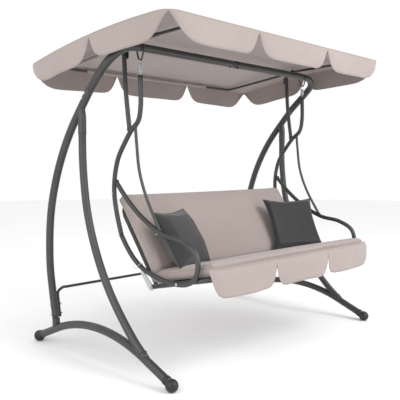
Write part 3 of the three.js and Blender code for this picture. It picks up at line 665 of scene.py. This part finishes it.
@dataclass
class HangingFrame:
    """Hooks, springs, hangers, arms and the seat's rails and bars."""

    hanger_x: float = 704
    rail_x: float = 677
    beam: tuple[float, float] = (-161, 1609)
    pivot_z: float = 1547
    hanger_top: float = 1470
    rail_rear: tuple[float, float] = (-221, 405)
    rail_front: tuple[float, float] = (-648, 499)
    hanger: Route = (
        (-161, 1470), (-161, 1315), (-143, 1247), (-87, 1200), (-32, 1137), (25, 1056), (54, 962), (60, 869),
        (40, 765), (2, 651))
    arm: Route = (
        (1.6, 650.6), (-46, 591), (-98, 540), (-171, 495), (-285, 461), (-395, 449), (-483, 456), (-540, 486),
        (-566, 544), (-546, 612), (-455, 660), (-320, 683), (-181, 747), (-62, 831), (46, 935))
    strut: Route = ((-118, 1225), (-128, 1130), (-148, 993), (-200, 862), (-308, 690))
    post: Route = ((-74, 1190), (-44, 1400), (-30, 1611))

    def rail_height(self, y: float) -> float:
        """Height of the rail's centre line, in millimetres."""
        (rear_y, rear_z), (front_y, front_z) = self.rail_rear, self.rail_front
        return rear_z + (rear_y - y) * (front_z - rear_z) / (rear_y - front_y)

    def tube(
            self, name: str, line: Sequence[Vector], radius: float, finish: Finish = PAINT,
            body: Body = Body.SEAT) -> Piece:
        """A tube or wire that stands for the frame's own."""
        return finished(swept(name + "_tube", line, radius, rings=6), finish, body, name)

    def build_hook(self, side: str, x: float) -> None:
        """Builds the V-shaped hook welded under the beam."""
        beam_y, beam_z = self.beam
        bend = 15
        bottom = []
        for step in range(-4, 5):
            turn = math.radians(62) * step / 4
            bottom.append((bend * math.sin(turn), self.pivot_z + bend * (1 - math.cos(turn))))
        legs = [[(way * 25.5, beam_z + 4), (way * 25.5, beam_z - 14)] for way in (-1, 1)]
        profile = [*legs[0], *bottom, *reversed(legs[1])]
        line = smooth_route(in_plane(x, [(beam_y + y, z) for y, z in profile]), 4)
        self.tube(f"spring_hook_{side}", line, HOOK_R, body=Body.STAND)

    def build_spring(self, side: str, x: float) -> None:
        """Builds the coil spring with an eye at its top and a tail in the hanger."""
        y, top, low, turns, per_turn = self.beam[0], 1527, 1488, 9, 20
        eye = [math.radians(-60 + step * 14) for step in range(21)]
        points = [at(x + 7.3 * math.cos(a), y, self.pivot_z + 7.3 * math.sin(a)) for a in eye]
        points.append(at(x - 3, y, top + 5))
        for step in range(turns * per_turn + 1):
            turn = math.tau * step / per_turn
            z = top - (top - low) * step / (turns * per_turn)
            points.append(at(x - 9.5 * math.cos(turn), y + 9.5 * math.sin(turn), z))
        points += [at(x - 1, y, low - 6), at(x, y, self.hanger_top + 1)]
        self.tube(f"spring_{side}", smooth_route(points, 2), WIRE_R, ZINC)

    def build_side(self, side: str, sign: int) -> None:
        """Builds one hanger with its arm, strut, post and rail."""
        x = sign * self.hanger_x
        self.build_hook(side, x)
        self.build_spring(side, x)
        self.tube(f"hanger_tube_{side}", smooth_route(in_plane(x, self.hanger)), HANGER_R)
        self.tube(f"arm_loop_{side}", smooth_route(in_plane(x, self.arm)), HANGER_R)
        self.tube(f"arm_strut_{side}", smooth_route(in_plane(x, self.strut)), THIN_R)
        self.tube(f"canopy_post_{side}", smooth_route(in_plane(x, self.post)), POST_R)
        rail_x = sign * self.rail_x
        rear = at(rail_x, -207, self.rail_height(-207))
        self.tube(f"seat_rail_{side}", [rear, at(rail_x, *self.rail_front)], HANGER_R)
        welds = {
            "arm_top": (at(x, 42, 931), Vector((0, 0.75, 0.66)), HANGER_R),
            "strut_foot": (at(x, -303, 700), Vector((0, -0.5, -0.8)), THIN_R),
            "strut_head": (at(x, -119, 1214), Vector((0, 0.1, 1)), THIN_R),
            "post_foot": (at(x, -71, 1206), Vector((0, 0.15, 1)), POST_R),
        }
        add_welds(side, Body.SEAT, welds)
        heads = {"joint": (4, 657), "rear": (60, 872), "strut": (-292, 681)}
        add_heads("hanger_screw", side, x + sign * 12, 0.0048, Body.SEAT, heads)
        plug = [at(rail_x, y, self.rail_height(y)) for y in (-645, -651)]
        finished(swept(f"rail_plug_{side}", plug, 0.0131, rings=6), PLASTIC, Body.SEAT)

    def build_bars(self) -> None:
        """Builds the two bars that carry the sling."""
        for name, y in (("seat_front_bar", -632), ("seat_rear_bar", -262)):
            z = self.rail_height(y)
            self.tube(name, [at(-672, y, z), at(672, y, z)], THIN_R)

    def build_sling(self) -> None:
        """Builds the mesh sling that sags between the bars."""
        columns, rows = 60, 20
        rear, front, half = -248, -640, 655

        def place(column: int, row: int) -> Vector:
            """Puts a grid point on the sagging sling."""
            across = -half + 2 * half * column / columns
            share = row / rows
            y = rear + (front - rear) * share
            sag = 5.0 * math.sin(math.pi * min(1, max(0, (share - 0.04) / 0.92))) * (1 - (across / half) ** 4)
            return at(across, y, self.rail_height(y) + 10 - sag)

        sling = surface("seat_sling_mesh", columns, rows, place)
        give_thickness(sling, 0.0012)
        finished(sling, SLING_CLOTH, Body.SEAT, "seat_sling")

    def build(self) -> None:
        """Builds the hanging frame."""
        for side, sign in SIDES:
            self.build_side(side, sign)
        self.build_bars()
        self.build_sling()


# ---- the backrest ---------------------------------------------------------------------


@dataclass
class Backrest:
    """The folding backrest's bent tube, bar and sling."""

    half: float = 653.5
    length: float = 490.6
    pivot: tuple[float, float] = (-221, 405)
    lean: float = math.atan2(291, 395)

    def on_back(self, x: float, up: float, front: float) -> Vector:
        """A point from how far up the back it is and how far in front."""
        y = self.pivot[0] + up * math.sin(self.lean) - front * math.cos(self.lean)
        z = self.pivot[1] + up * math.cos(self.lean) + front * math.sin(self.lean)
        return at(x, y, z)

    def build_frame(self) -> None:
        """Builds the bent tube and its lower bar."""
        half, length, bend = self.half, self.length, 55
        side = [
            (half, -12), (half, 120), (half, 300), (half, length - bend),
            (half - bend * 0.3, length - bend * 0.3), (half - bend, length), (half - bend - 25, length)]
        right = [self.on_back(x, up, 0) for x, up in side]
        left = [self.on_back(-x, up, 0) for x, up in side]
        hoop = swept("backrest_hoop", smooth_route([*left, *reversed(right)]), BACK_R, rings=6)
        finished(hoop, PAINT, Body.BACKREST, "backrest_frame")
        up = length * 0.32
        line = [self.on_back(-half + 8, up, 0), self.on_back(half - 8, up, 0)]
        finished(swept("backrest_bar", line, THIN_R, rings=6), PAINT, Body.BACKREST, "backrest_lower_bar")

    def build_sling(self) -> None:
        """Builds the mesh sling, whose sides wrap round the bent tube."""
        wrap = [math.radians(angle) for angle in range(-150, 91, 20)]
        reach = 11.4
        left = [(-self.half - reach * math.sin(a + math.pi / 2), reach * math.sin(a)) for a in wrap]
        right = [(-x, front) for x, front in reversed(left)]
        flat = [(-self.half + (2 * self.half) * i / 30, reach) for i in range(1, 30)]
        profile = [*left, *flat, *right]
        rows, low, high = 16, 92, 430

        def place(column: int, row: int) -> Vector:
            """Puts a grid point round the tube or on the slack middle."""
            x, front = profile[column]
            up = low + (high - low) * row / rows
            return self.on_back(x, up, front)

        sling = surface("backrest_sling_mesh", len(profile) - 1, rows, place)
        give_thickness(sling, 0.0012)
        finished(sling, SLING_CLOTH, Body.BACKREST, "backrest_sling")

    def build(self) -> None:
        """Builds the backrest."""
        self.build_frame()
        self.build_sling()


# ---- cushions and pillows -------------------------------------------------------------


@dataclass(frozen=True)
class Filling:
    """How a sewn shell is blown up by cloth pressure, in its own flat place.

    Attributes:
        pressure: of the filling.
        cap: the furthest a point may move, in metres.
        growth: how much the cloth shrinks, so a negative value lets it grow.
        frames: how long it is simulated.
        draw: the share of the sideways movement that is kept.
    """

    pressure: float
    cap: float
    growth: float
    frames: int
    draw: float = 1.0

    def inflate(self, piece: Piece) -> None:
        """Fills the shell and keeps each point near its start."""
        start = [vert.co.copy() for vert in piece.data.vertices]
        cloth = piece.modifiers.new("filling", "CLOTH")
        cloth.settings.use_pressure = True
        cloth.settings.uniform_pressure_force = self.pressure
        cloth.settings.effector_weights.gravity = 0
        cloth.settings.shrink_min = self.growth
        cloth.settings.tension_stiffness = 18
        cloth.settings.compression_stiffness = 18
        cloth.settings.bending_stiffness = 0.3
        cloth.point_cache.frame_start = 1
        cloth.point_cache.frame_end = self.frames
        for frame in range(1, self.frames + 1):
            bpy.context.scene.frame_set(frame)
        shaped = piece.evaluated_get(bpy.context.evaluated_depsgraph_get())
        moved = [vert.co.copy() for vert in shaped.data.vertices]
        piece.modifiers.remove(cloth)
        for vert, old, new in zip(piece.data.vertices, start, moved):
            step = new - old
            step.x *= self.draw
            step.y *= self.draw
            vert.co = old + (step.normalized() * self.cap if step.length > self.cap else step)
        bpy.context.scene.frame_set(1)


@dataclass
class Pad:
    """A sewn cushion that is filled flat, then laid on the bench."""

    name: str
    node: str
    size: tuple[float, float, float]
    place: Matrix
    body: Body
    cap: float
    rounding: float = 0.02

    def blank(self) -> Piece:
        """A crowned block whose sides pull in between its corners."""
        width, length, height = (edge / 1000 for edge in self.size)
        bm = bmesh.new()
        bmesh.ops.create_cube(bm, size=1)
        bmesh.ops.scale(bm, vec=(width - 0.010, length - 0.010, height * 0.78), verts=bm.verts)
        bmesh.ops.bevel(
            bm, geom=bm.edges[:], offset=self.rounding, segments=4, profile=0.5, affect="EDGES", material=-1)
        piece = piece_from(bm, self.name)
        remesh = piece.modifiers.new("even", "REMESH")
        remesh.mode = "VOXEL"
        remesh.voxel_size = 0.009
        mesh = bpy.data.meshes.new_from_object(piece.evaluated_get(bpy.context.evaluated_depsgraph_get()))
        piece.modifiers.clear()
        piece.data = mesh
        for vert in mesh.vertices:
            x, y = vert.co.x / (width / 2), vert.co.y / (length / 2)
            dome = (1 - x**4) * (1 - y**4)
            vert.co.z += math.copysign(0.005 * dome, vert.co.z)
            vert.co.x *= 1 - 0.006 * (1 - y * y)
            vert.co.y *= 1 - 0.014 * (1 - x * x)
        return piece

    def piping(self, piece: Piece, name: str, level: float) -> Piece:
        """Lays a corded seam round the pad, snapped to its filled surface."""
        width, length, _ = (edge / 1000 for edge in self.size)
        tree = BVHTree.FromObject(piece, bpy.context.evaluated_depsgraph_get())
        corner = 0.03
        line = []
        for quarter, (sx, sy) in enumerate(((1, 1), (-1, 1), (-1, -1), (1, -1))):
            for step in range(7):
                turn = math.radians(90 * quarter + 15 * step)
                line.append(Vector((
                    sx * (width / 2 - corner) + corner * math.cos(turn),
                    sy * (length / 2 - corner) + corner * math.sin(turn), level)))
        dense: list[Vector] = []
        for start, end in zip(line, line[1:] + line[:1]):
            parts = max(1, round((end - start).length / 0.03))
            dense += [start.lerp(end, i / parts) for i in range(parts)]
        snapped = [tree.find_nearest(point)[0] for point in dense]
        return swept(name, snapped, PIPING_R, closed=True, rings=2)

    def build(self) -> None:
        """Builds, fills, seams and places the pad."""
        piece = self.blank()
        Filling(pressure=4.0, cap=self.cap, growth=-0.02, frames=20).inflate(piece)
        level = self.size[2] / 1000 * 0.27
        seams = [
            self.piping(piece, f"{self.name}_piping_{end}", way * level)
            for end, way in (("upper", 1), ("lower", -1))]
        for part in [piece, *seams]:
            part.data.transform(self.place)
        subdivided(piece)
        finished(piece, CUSHION_CLOTH, self.body, self.node)
        for seam in seams:
            finished(seam, CUSHION_CLOTH, self.body)


@dataclass
class ThrowPillow:
    """A square pillow: two sheets sewn at their edge and blown up by simulation."""

    side: str
    centre: tuple[float, float, float]
    turn: float
    lean: float
    size: float = 345
    steps: int = 44

    def blank(self) -> Piece:
        """Two square sheets that meet at the seam, a little apart in the middle."""
        half = self.size / 2000
        bm = bmesh.new()
        for way in (1, -1):
            made = bmesh.ops.create_grid(bm, x_segments=self.steps, y_segments=self.steps, size=half)
            for vert in made["verts"]:
                x, y = vert.co.x / half, vert.co.y / half
                rise = max(0.0, (1 - x**2) * (1 - y**2)) ** 0.6
                vert.co.z = way * 0.026 * rise
                vert.co.x *= 1 - 0.05 * (1 - y * y) * abs(x)
                vert.co.y *= 1 - 0.05 * (1 - x * x) * abs(y)
            if way < 0:
                bmesh.ops.reverse_faces(bm, faces=list({f for v in made["verts"] for f in v.link_faces}))
        bmesh.ops.remove_doubles(bm, verts=bm.verts, dist=1e-5)
        bmesh.ops.recalc_face_normals(bm, faces=bm.faces)
        return piece_from(bm, f"throw_pillow_{self.side}")

    def build(self) -> None:
        """Builds, fills and places the pillow with its pinched seam."""
        piece = self.blank()
        edge = [v.index for v in piece.data.vertices if abs(v.co.z) < 1e-6]
        Filling(pressure=3.2, cap=0.032, growth=-0.06, frames=26, draw=0.22).inflate(piece)
        rim = self.rim_line(piece, edge)
        seam = swept(f"throw_pillow_seam_{self.side}", rim, 0.0026, closed=True, rings=2)
        place = Matrix.Translation(at(*self.centre))
        place = place @ Matrix.Rotation(math.radians(self.turn), 4, "Z")
        place = place @ Matrix.Rotation(math.radians(90 - self.lean), 4, "X")
        for part in (piece, seam):
            part.data.transform(place)
        subdivided(piece)
        finished(piece, PILLOW_CLOTH, Body.BACKREST, f"pillow_{self.side}")
        finished(seam, PILLOW_CLOTH, Body.BACKREST)

    def rim_line(self, piece: Piece, edge: Sequence[int]) -> list[Vector]:
        """The pillow's seam as a line, in order round its middle."""
        points = [piece.data.vertices[i].co.copy() for i in edge]
        return sorted(points, key=lambda p: math.atan2(p.y, p.x))


@dataclass
class Valance:
    """The strip of flaps sewn along the seat cushion's front edge."""

    half: float = 700
    y: float = -669.5
    top: float = 546
    depth: float = 142
    flaps: int = 3

    def build(self) -> None:
        """Builds the strip, its seam cord and its hem."""
        width = 2 * self.half / self.flaps
        steps: list[float] = []
        for flap in range(self.flaps):
            start = -self.half + width * flap
            steps += flap_steps(start, start + width, 14)
        steps.append(self.half)
        drops = [0, 0.04, 0.1, 0.2, 0.32, 0.46, 0.6, 0.74, 0.88, 1]

        def place(column: int, row: int) -> Vector:
            """Puts a grid point on the hanging strip."""
            return self.point(steps[column], drops[row])

        strip = surface("seat_valance_strip", len(steps) - 1, len(drops) - 1, place)
        give_thickness(strip, 0.0016)
        finished(strip, CUSHION_CLOTH, Body.SEAT, "seat_valance")
        hem = swept("seat_valance_hem", [self.point(x, 1) for x in steps], HEM_R, rings=2)
        finished(hem, CUSHION_CLOTH, Body.SEAT)
        proud = Vector((0, -0.0015, 0))
        seam = swept("seat_valance_seam", [self.point(x, 0.03) + proud for x in steps], PIPING_R, rings=2)
        finished(seam, CUSHION_CLOTH, Body.SEAT)

    def point(self, x: float, drop: float) -> Vector:
        """A point of the strip from its place along and its share down."""
        width = 2 * self.half / self.flaps
        along = (x + self.half) % width
        distance = min(along, width - along)
        if abs(x) >= self.half - 0.01:
            distance = 0
        outer = self.half - abs(x) < width / 2
        down = drop * flap_depth(distance, self.depth, band=16, softness=26 if outer else 17, power=1.05)
        fold = 5.0 * drop * math.sin((x + 0.6 * down) / 46 + 1.1 * ripple(x, 0, 210, 2.0))
        fold += 9 * drop * ripple(x, down, 170, 5.0)
        pucker = 1.3 * math.sin(x / 5.2) * math.exp(-down / 16)
        curl = 22 * (abs(x) / self.half) ** 16
        y = self.y + 14 - 14 * min(1, down / 26) ** 0.6 + curl + min(fold, 7.0) + pucker
        return at(x * (1.008 + 0.006 * drop), y, self.top - down)


# ---- the canopy -----------------------------------------------------------------------


@dataclass
class Canopy:
    """The tilting canopy: two tube hoops under one sewn cloth roof with hanging flaps."""

    half: float = 925
    front: tuple[float, float] = (-605, 1685)
    rear: tuple[float, float] = (539, 1565)
    corner: float = 72
    drop: float = 124
    arch: float = 32
    crown: float = 26
    arm_x: float = 700
    arm: Route = (
        (-588, 1668), (-420, 1660), (-262, 1655), (-161, 1652), (-90, 1647), (60, 1628), (291, 1600),
        (498, 1577))
    joint: int = 2

    def roof_height(self, x: float, y: float) -> float:
        """Height of the roof, in millimetres."""
        share = (y - self.front[0]) / (self.rear[0] - self.front[0])
        line = self.front[1] + (self.rear[1] - self.front[1]) * share
        rise = self.arch * 4 * share * (1 - share)
        return line + rise + self.crown * (1 - (x / self.half) ** 4) * min(1, max(0, 4 * share))

    @property
    def turn(self) -> float:
        """Length of one rounded corner of the roof's edge."""
        return self.corner * math.pi / 2

    @property
    def runs(self) -> tuple[float, float, float, float]:
        """Lengths of the four straight runs of the roof's edge."""
        across, along = 2 * (self.half - self.corner), self.rear[0] - self.front[0] - 2 * self.corner
        return (across, along, across, along)

    def edge(self, s: float) -> tuple[float, float, float, float]:
        """The roof's rounded edge.

        Args:
            s: distance along the edge in millimetres, from the front left bend.

        Returns:
            x, y and the outward direction's x and y.
        """
        cx, cy = self.half - self.corner, self.runs[1] / 2
        middle = (self.front[0] + self.rear[0]) / 2
        s %= self.length()
        for quarter, run in enumerate(self.runs):
            angle = math.radians(-90 + 90 * quarter)
            out = (math.cos(angle), math.sin(angle))
            if s <= run:
                reach = s - run / 2
                side = self.half if quarter % 2 else cy + self.corner
                return (out[0] * side - out[1] * reach, middle + out[1] * side + out[0] * reach, *out)
            s -= run
            if s <= self.turn:
                bend = angle + s / self.corner
                out = (math.cos(bend), math.sin(bend))
                sx, sy = ((1, -1), (1, 1), (-1, 1), (-1, -1))[quarter]
                return (sx * cx + self.corner * out[0], middle + sy * cy + self.corner * out[1], *out)
            s -= self.turn
        return self.edge(0.0)

    def length(self) -> float:
        """Length of the roof's edge in millimetres."""
        return sum(self.runs) + 2 * math.pi * self.corner

    @cached_property
    def notches(self) -> list[tuple[float, bool]]:
        """Where the notches between two flaps are along the edge, and which are at a corner."""
        half_flap = self.half / 3
        start, found = 0.0, []
        for run in self.runs:
            middle = start + run / 2
            offsets = (-half_flap, half_flap) if run == self.runs[0] else (0,)
            found += [(middle + offset, False) for offset in offsets]
            found.append((start + run + self.turn / 2, True))
            start += run + self.turn
        return sorted(found)

    def roof_point(self, s: float, ring: float) -> Vector:
        """A point of the roof between its middle (ring 0) and its edge (ring 1)."""
        x, y, _, _ = self.edge(s)
        middle = (self.front[0] + self.rear[0]) / 2
        x, y = x * ring, middle + (y - middle) * ring
        z = self.roof_height(x, y)
        tension = 2.6 * ripple(x, y * 2.4, 150, 1.0) + 1.2 * ripple(x * 2, y * 2, 90, 8.0)
        pull = 3.5 * math.sin(y / 24 + x / 90) * max(0, (abs(x) / self.half - 0.72)) * max(0, y / 539)
        return at(x, y, z + (tension + 6 * pull) * (1 - ring**8))

    def flap_point(self, s: float, share: float) -> Vector:
        """A point of a flap from its place along the edge and its share down."""
        x, y, out_x, out_y = self.edge(s)
        down = share * min(self.notch_depth(s, place, at_corner) for place, at_corner in self.notches)
        wave = 5.5 * share * ripple(s, down, 190, 3.0) + 2.2 * share * math.sin(s / 46)
        belly = 4 * math.sin(math.pi * share) - 3 * share
        out = min(6.0, wave + belly)
        return at(x + out_x * out, y + out_y * out, self.roof_height(x, y) - down)

    def notch_depth(self, s: float, place: float, at_corner: bool) -> float:
        """How far the flaps hang at s if only one notch is counted."""
        away = abs(s % self.length() - place)
        away = min(away, self.length() - away)
        band, softness, power = (7.0, 68.0, 1.5) if at_corner else (13.0, 38.0, 1.35)
        return flap_depth(away, self.drop, band, softness, power)

    def corners(self) -> list[float]:
        """Places of the corner notches along the edge, from the front left one round to itself."""
        found = [place for place, at_corner in self.notches if at_corner]
        return [found[-1] - self.length(), *found]

    def square_point(self, across: float, along: float) -> Vector:
        """A roof point from a square of -1 to 1 each way, laid out in rings like its edge."""
        ring = max(abs(across), abs(along))
        if ring < 1e-9:
            return self.roof_point(0, 0)
        across, along = across / ring, along / ring
        corners = self.corners()
        if abs(along) > 1 - 1e-9:
            quarter, share = (0, across) if along < 0 else (2, -across)
        else:
            quarter, share = (1, along) if across > 0 else (3, -along)
        start, end = corners[quarter], corners[quarter + 1]
        return self.roof_point(start + (end - start) * (share + 1) / 2, ring)

    def build_cloth(self) -> None:
        """Builds the roof and its flaps as one sheet, with its seams and hem."""
        corners = self.corners()
        places = [corners[0], *[place for place, _ in self.notches]]
        runs: list[list[float]] = []
        for start, end in zip(corners, corners[1:]):
            stops = [place for place in places if start - 0.01 <= place <= end + 0.01]
            run = [step for a, b in zip(stops, stops[1:]) for step in flap_steps(a, b, 30)]
            runs.append([*run, end])
        steps = [step for run in runs for step in run[:-1]] + [corners[-1]]
        wide, deep = ([2 * (step - run[0]) / (run[-1] - run[0]) - 1 for step in run] for run in runs[:2])
        drops = [0, 0.08, 0.2, 0.35, 0.52, 0.7, 0.86, 1]
        bm = bmesh.new()
        bm.loops.layers.uv.new("UVMap")
        add_grid(bm, len(wide) - 1, len(deep) - 1, lambda i, j: self.square_point(wide[i], deep[j]))
        add_grid(bm, len(steps) - 1, len(drops) - 1, lambda i, j: self.flap_point(steps[i], drops[j]))
        bmesh.ops.remove_doubles(bm, verts=bm.verts, dist=2e-5)
        bmesh.ops.recalc_face_normals(bm, faces=bm.faces)
        cloth = piece_from(bm, "canopy_roof")
        give_thickness(cloth, 0.0014)
        finished(cloth, CANOPY_CLOTH, Body.CANOPY, "canopy_cloth")
        hem = swept("canopy_hem", [self.flap_point(s, 1) for s in steps[:-1]], HEM_R, closed=True, rings=2)
        seam_line = [self.flap_point(s, 0) + Vector((0, 0, -0.001)) for s in steps[:-1]]
        seam = swept("canopy_seam", seam_line, 0.0026, closed=True, rings=2)
        for trim in (hem, seam):
            finished(trim, CANOPY_CLOTH, Body.CANOPY)

    def hoop(self, arm: Route) -> list[Vector]:
        """The line of one bent tube, from one arm's end round to the other's."""
        bend = 45
        (cross_y, cross_z), (next_y, next_z) = arm[0], arm[1]
        way = 1 if next_y > cross_y else -1
        share = bend / abs(next_y - cross_y)
        half = [
            (self.arm_x - bend - 25, cross_y, cross_z), (self.arm_x - bend, cross_y, cross_z),
            (self.arm_x - bend * 0.3, cross_y + way * bend * 0.3, cross_z),
            (self.arm_x, cross_y + way * bend, cross_z + (next_z - cross_z) * share),
            *[(self.arm_x, y, z) for y, z in arm[1:]],
        ]
        route = [at(-x, y, z) for x, y, z in reversed(half)] + [at(*p) for p in half]
        return smooth_route(route)

    def build_tubes(self) -> None:
        """Builds the two hoops, their sleeves of cloth and their screws."""
        arms = {"front": self.arm[: self.joint + 1], "rear": [*reversed(self.arm[self.joint:])]}
        for end, arm in arms.items():
            tube = swept(f"canopy_{end}_tube", self.hoop(arm), THIN_R, rings=6)
            finished(tube, PAINT, Body.CANOPY, f"canopy_{end}_hoop")
        rear_y, rear_z = self.arm[-1]
        front_y, front_z = self.arm[0]
        hidden_arm = ((20, 1633), (60, 1628), (170, 1615), (291, 1600), (400, 1588), (450, 1582.5))
        sleeves = {
            "rear": [at(x, rear_y, rear_z + 1) for x in range(-567, 461, 20)],
            "front": [at(x, front_y, front_z + 1) for x in range(-630, 631, 20)],
            "left_arm": in_plane(-self.arm_x, hidden_arm),
        }
        for name, line in sleeves.items():
            sleeve = swept(f"canopy_sleeve_{name}", line, 0.0102, rings=6)
            finished(sleeve, CANOPY_CLOTH, Body.CANOPY)
        joint_y, joint_z = self.arm[self.joint]
        for side, sign in SIDES:
            band = [at(sign * self.arm_x, joint_y + step, joint_z - step * 0.03) for step in (-32, 32)]
            finished(swept(f"canopy_joint_{side}", band, 0.0094, rings=6), PAINT, Body.CANOPY)
            inward = Vector((-sign, 0, -0.4))
            centre = at(sign * (self.arm_x - 8.6), joint_y - 12, joint_z - 3)
            finished(screw_head(f"canopy_screw_{side}", centre, inward, 0.0045), ZINC, Body.CANOPY)

    def build(self) -> None:
        """Builds the canopy."""
        self.build_cloth()
        self.build_tubes()


# ---- parts of the frame that stay as they are -----------------------------------------


def dress_plain_parts(nodes: dict[str, Piece]) -> None:
    """Gives plates, bolts, clips and knobs of the frame their finishes."""
    kinds: dict[str, Finish] = {
        "crossbar_bolt": ZINC, "hinge_plate": ZINC, "hinge_bolt": ZINC, "arm_bolt": ZINC,
        "recline_clip": ZINC, "beam_sleeve": ZINC, "canopy_bracket": PAINT, "canopy_knob": PLASTIC,
    }
    for name, node in nodes.items():
        finish = next((f for kind, f in kinds.items() if name.startswith(kind)), None)
        if finish is None:
            continue
        node.data.materials.clear()
        node.data.materials.append(finish.material())
        LOG.info("%s keeps its shape", name)


# ---- studio ---------------------------------------------------------------------------


@dataclass
class Studio:
    """A pale floor, soft lights and the camera."""

    eye: tuple[float, float, float] = (-2.647, -2.4425, 1.027)
    azimuth: float = -45.69
    elevation: float = 3.47
    lens: float = 53.4

    def build_camera(self) -> None:
        """Places the camera."""
        data = bpy.data.cameras.new("camera")
        data.lens = self.lens
        data.sensor_width = 36
        camera = bpy.data.objects.new("camera", data)
        bpy.context.scene.collection.objects.link(camera)
        a, e = math.radians(self.azimuth), math.radians(self.elevation)
        back = Vector((math.sin(a) * math.cos(e), -math.cos(a) * math.cos(e), math.sin(e)))
        camera.location = self.eye
        camera.rotation_euler = (-back).to_track_quat("-Z", "Y").to_euler()
        bpy.context.scene.camera = camera

    def build_light(self, name: str, place: Sequence[float], power: float, size: float) -> None:
        """Adds a soft square light that looks at the bench."""
        data = bpy.data.lights.new(name, "AREA")
        data.energy = power
        data.size = size
        lamp = bpy.data.objects.new(name, data)
        bpy.context.scene.collection.objects.link(lamp)
        lamp.location = place
        lamp.rotation_euler = (Vector((0, 0, 0.9)) - Vector(place)).to_track_quat("-Z", "Y").to_euler()

    def build(self) -> None:
        """Builds the studio."""
        self.build_camera()
        bm = bmesh.new()
        bmesh.ops.create_circle(bm, cap_ends=True, segments=64, radius=14)
        floor = piece_from(bm, "floor")
        shader = Shader("pale_floor")
        cloudy = shader.noise(0.7, 2)
        shader.tint(cloudy, (1, 1, 1), (0.2, 0.9), (0.8, 0.93))
        shader.set(Roughness=0.9, Specular_IOR_Level=0.1)
        floor.data.materials.append(shader.material)
        world = bpy.data.worlds.new("studio")
        world.use_nodes = True
        sky = world.node_tree.nodes["Background"].inputs
        sky["Color"].default_value = (1, 1, 1, 1)
        sky["Strength"].default_value = 1.0
        bpy.context.scene.view_settings.view_transform = "Standard"
        bpy.context.scene.world = world
        self.build_light("key", (1.2, -4.2, 3.4), 160, 3.0)
        self.build_light("fill", (-4.5, -0.6, 2.6), 70, 3.0)


def seat_place() -> Matrix:
    """Where the seat cushion lies: its own flat frame to the bench's."""
    seat = HangingFrame()
    (rear_y, rear_z), (front_y, front_z) = seat.rail_rear, seat.rail_front
    slope = math.atan2(front_z - rear_z, rear_y - front_y)
    along, above = 206, 32
    y = rear_y - along * math.cos(slope) + above * math.sin(slope) * 0.2
    centre = at(0, y, seat.rail_height(y) + 14 + above)
    return Matrix.Translation(centre) @ Matrix.Rotation(-slope, 4, "X")


def back_place() -> Matrix:
    """Where the back cushion leans: its own flat frame to the bench's."""
    back = Backrest()
    centre = back.on_back(0, 281, 52)
    return Matrix.Translation(centre) @ Matrix.Rotation(math.pi / 2 - back.lean, 4, "X")


def main() -> None:
    """Builds the whole bench in order."""
    logging.basicConfig(level=logging.INFO, format="%(message)s")
    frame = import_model()
    Studio().build()
    dress_plain_parts(frame["nodes"])
    Stand().build()
    HangingFrame().build()
    Backrest().build()
    Pad("seat_pad", "seat_cushion", (1378, 480, 68), seat_place(), Body.SEAT, cap=0.007).build()
    Pad(
        "back_pad", "back_cushion", (1388, 500, 80), back_place(), Body.BACKREST, cap=0.008,
        rounding=0.026).build()
    Valance().build()
    ThrowPillow("left", (-528, -277, 647), 16, 32, size=322).build()
    ThrowPillow("right", (443, -284, 653), -24, 30).build()
    Canopy().build()


if __name__ == "__main__":
    main()
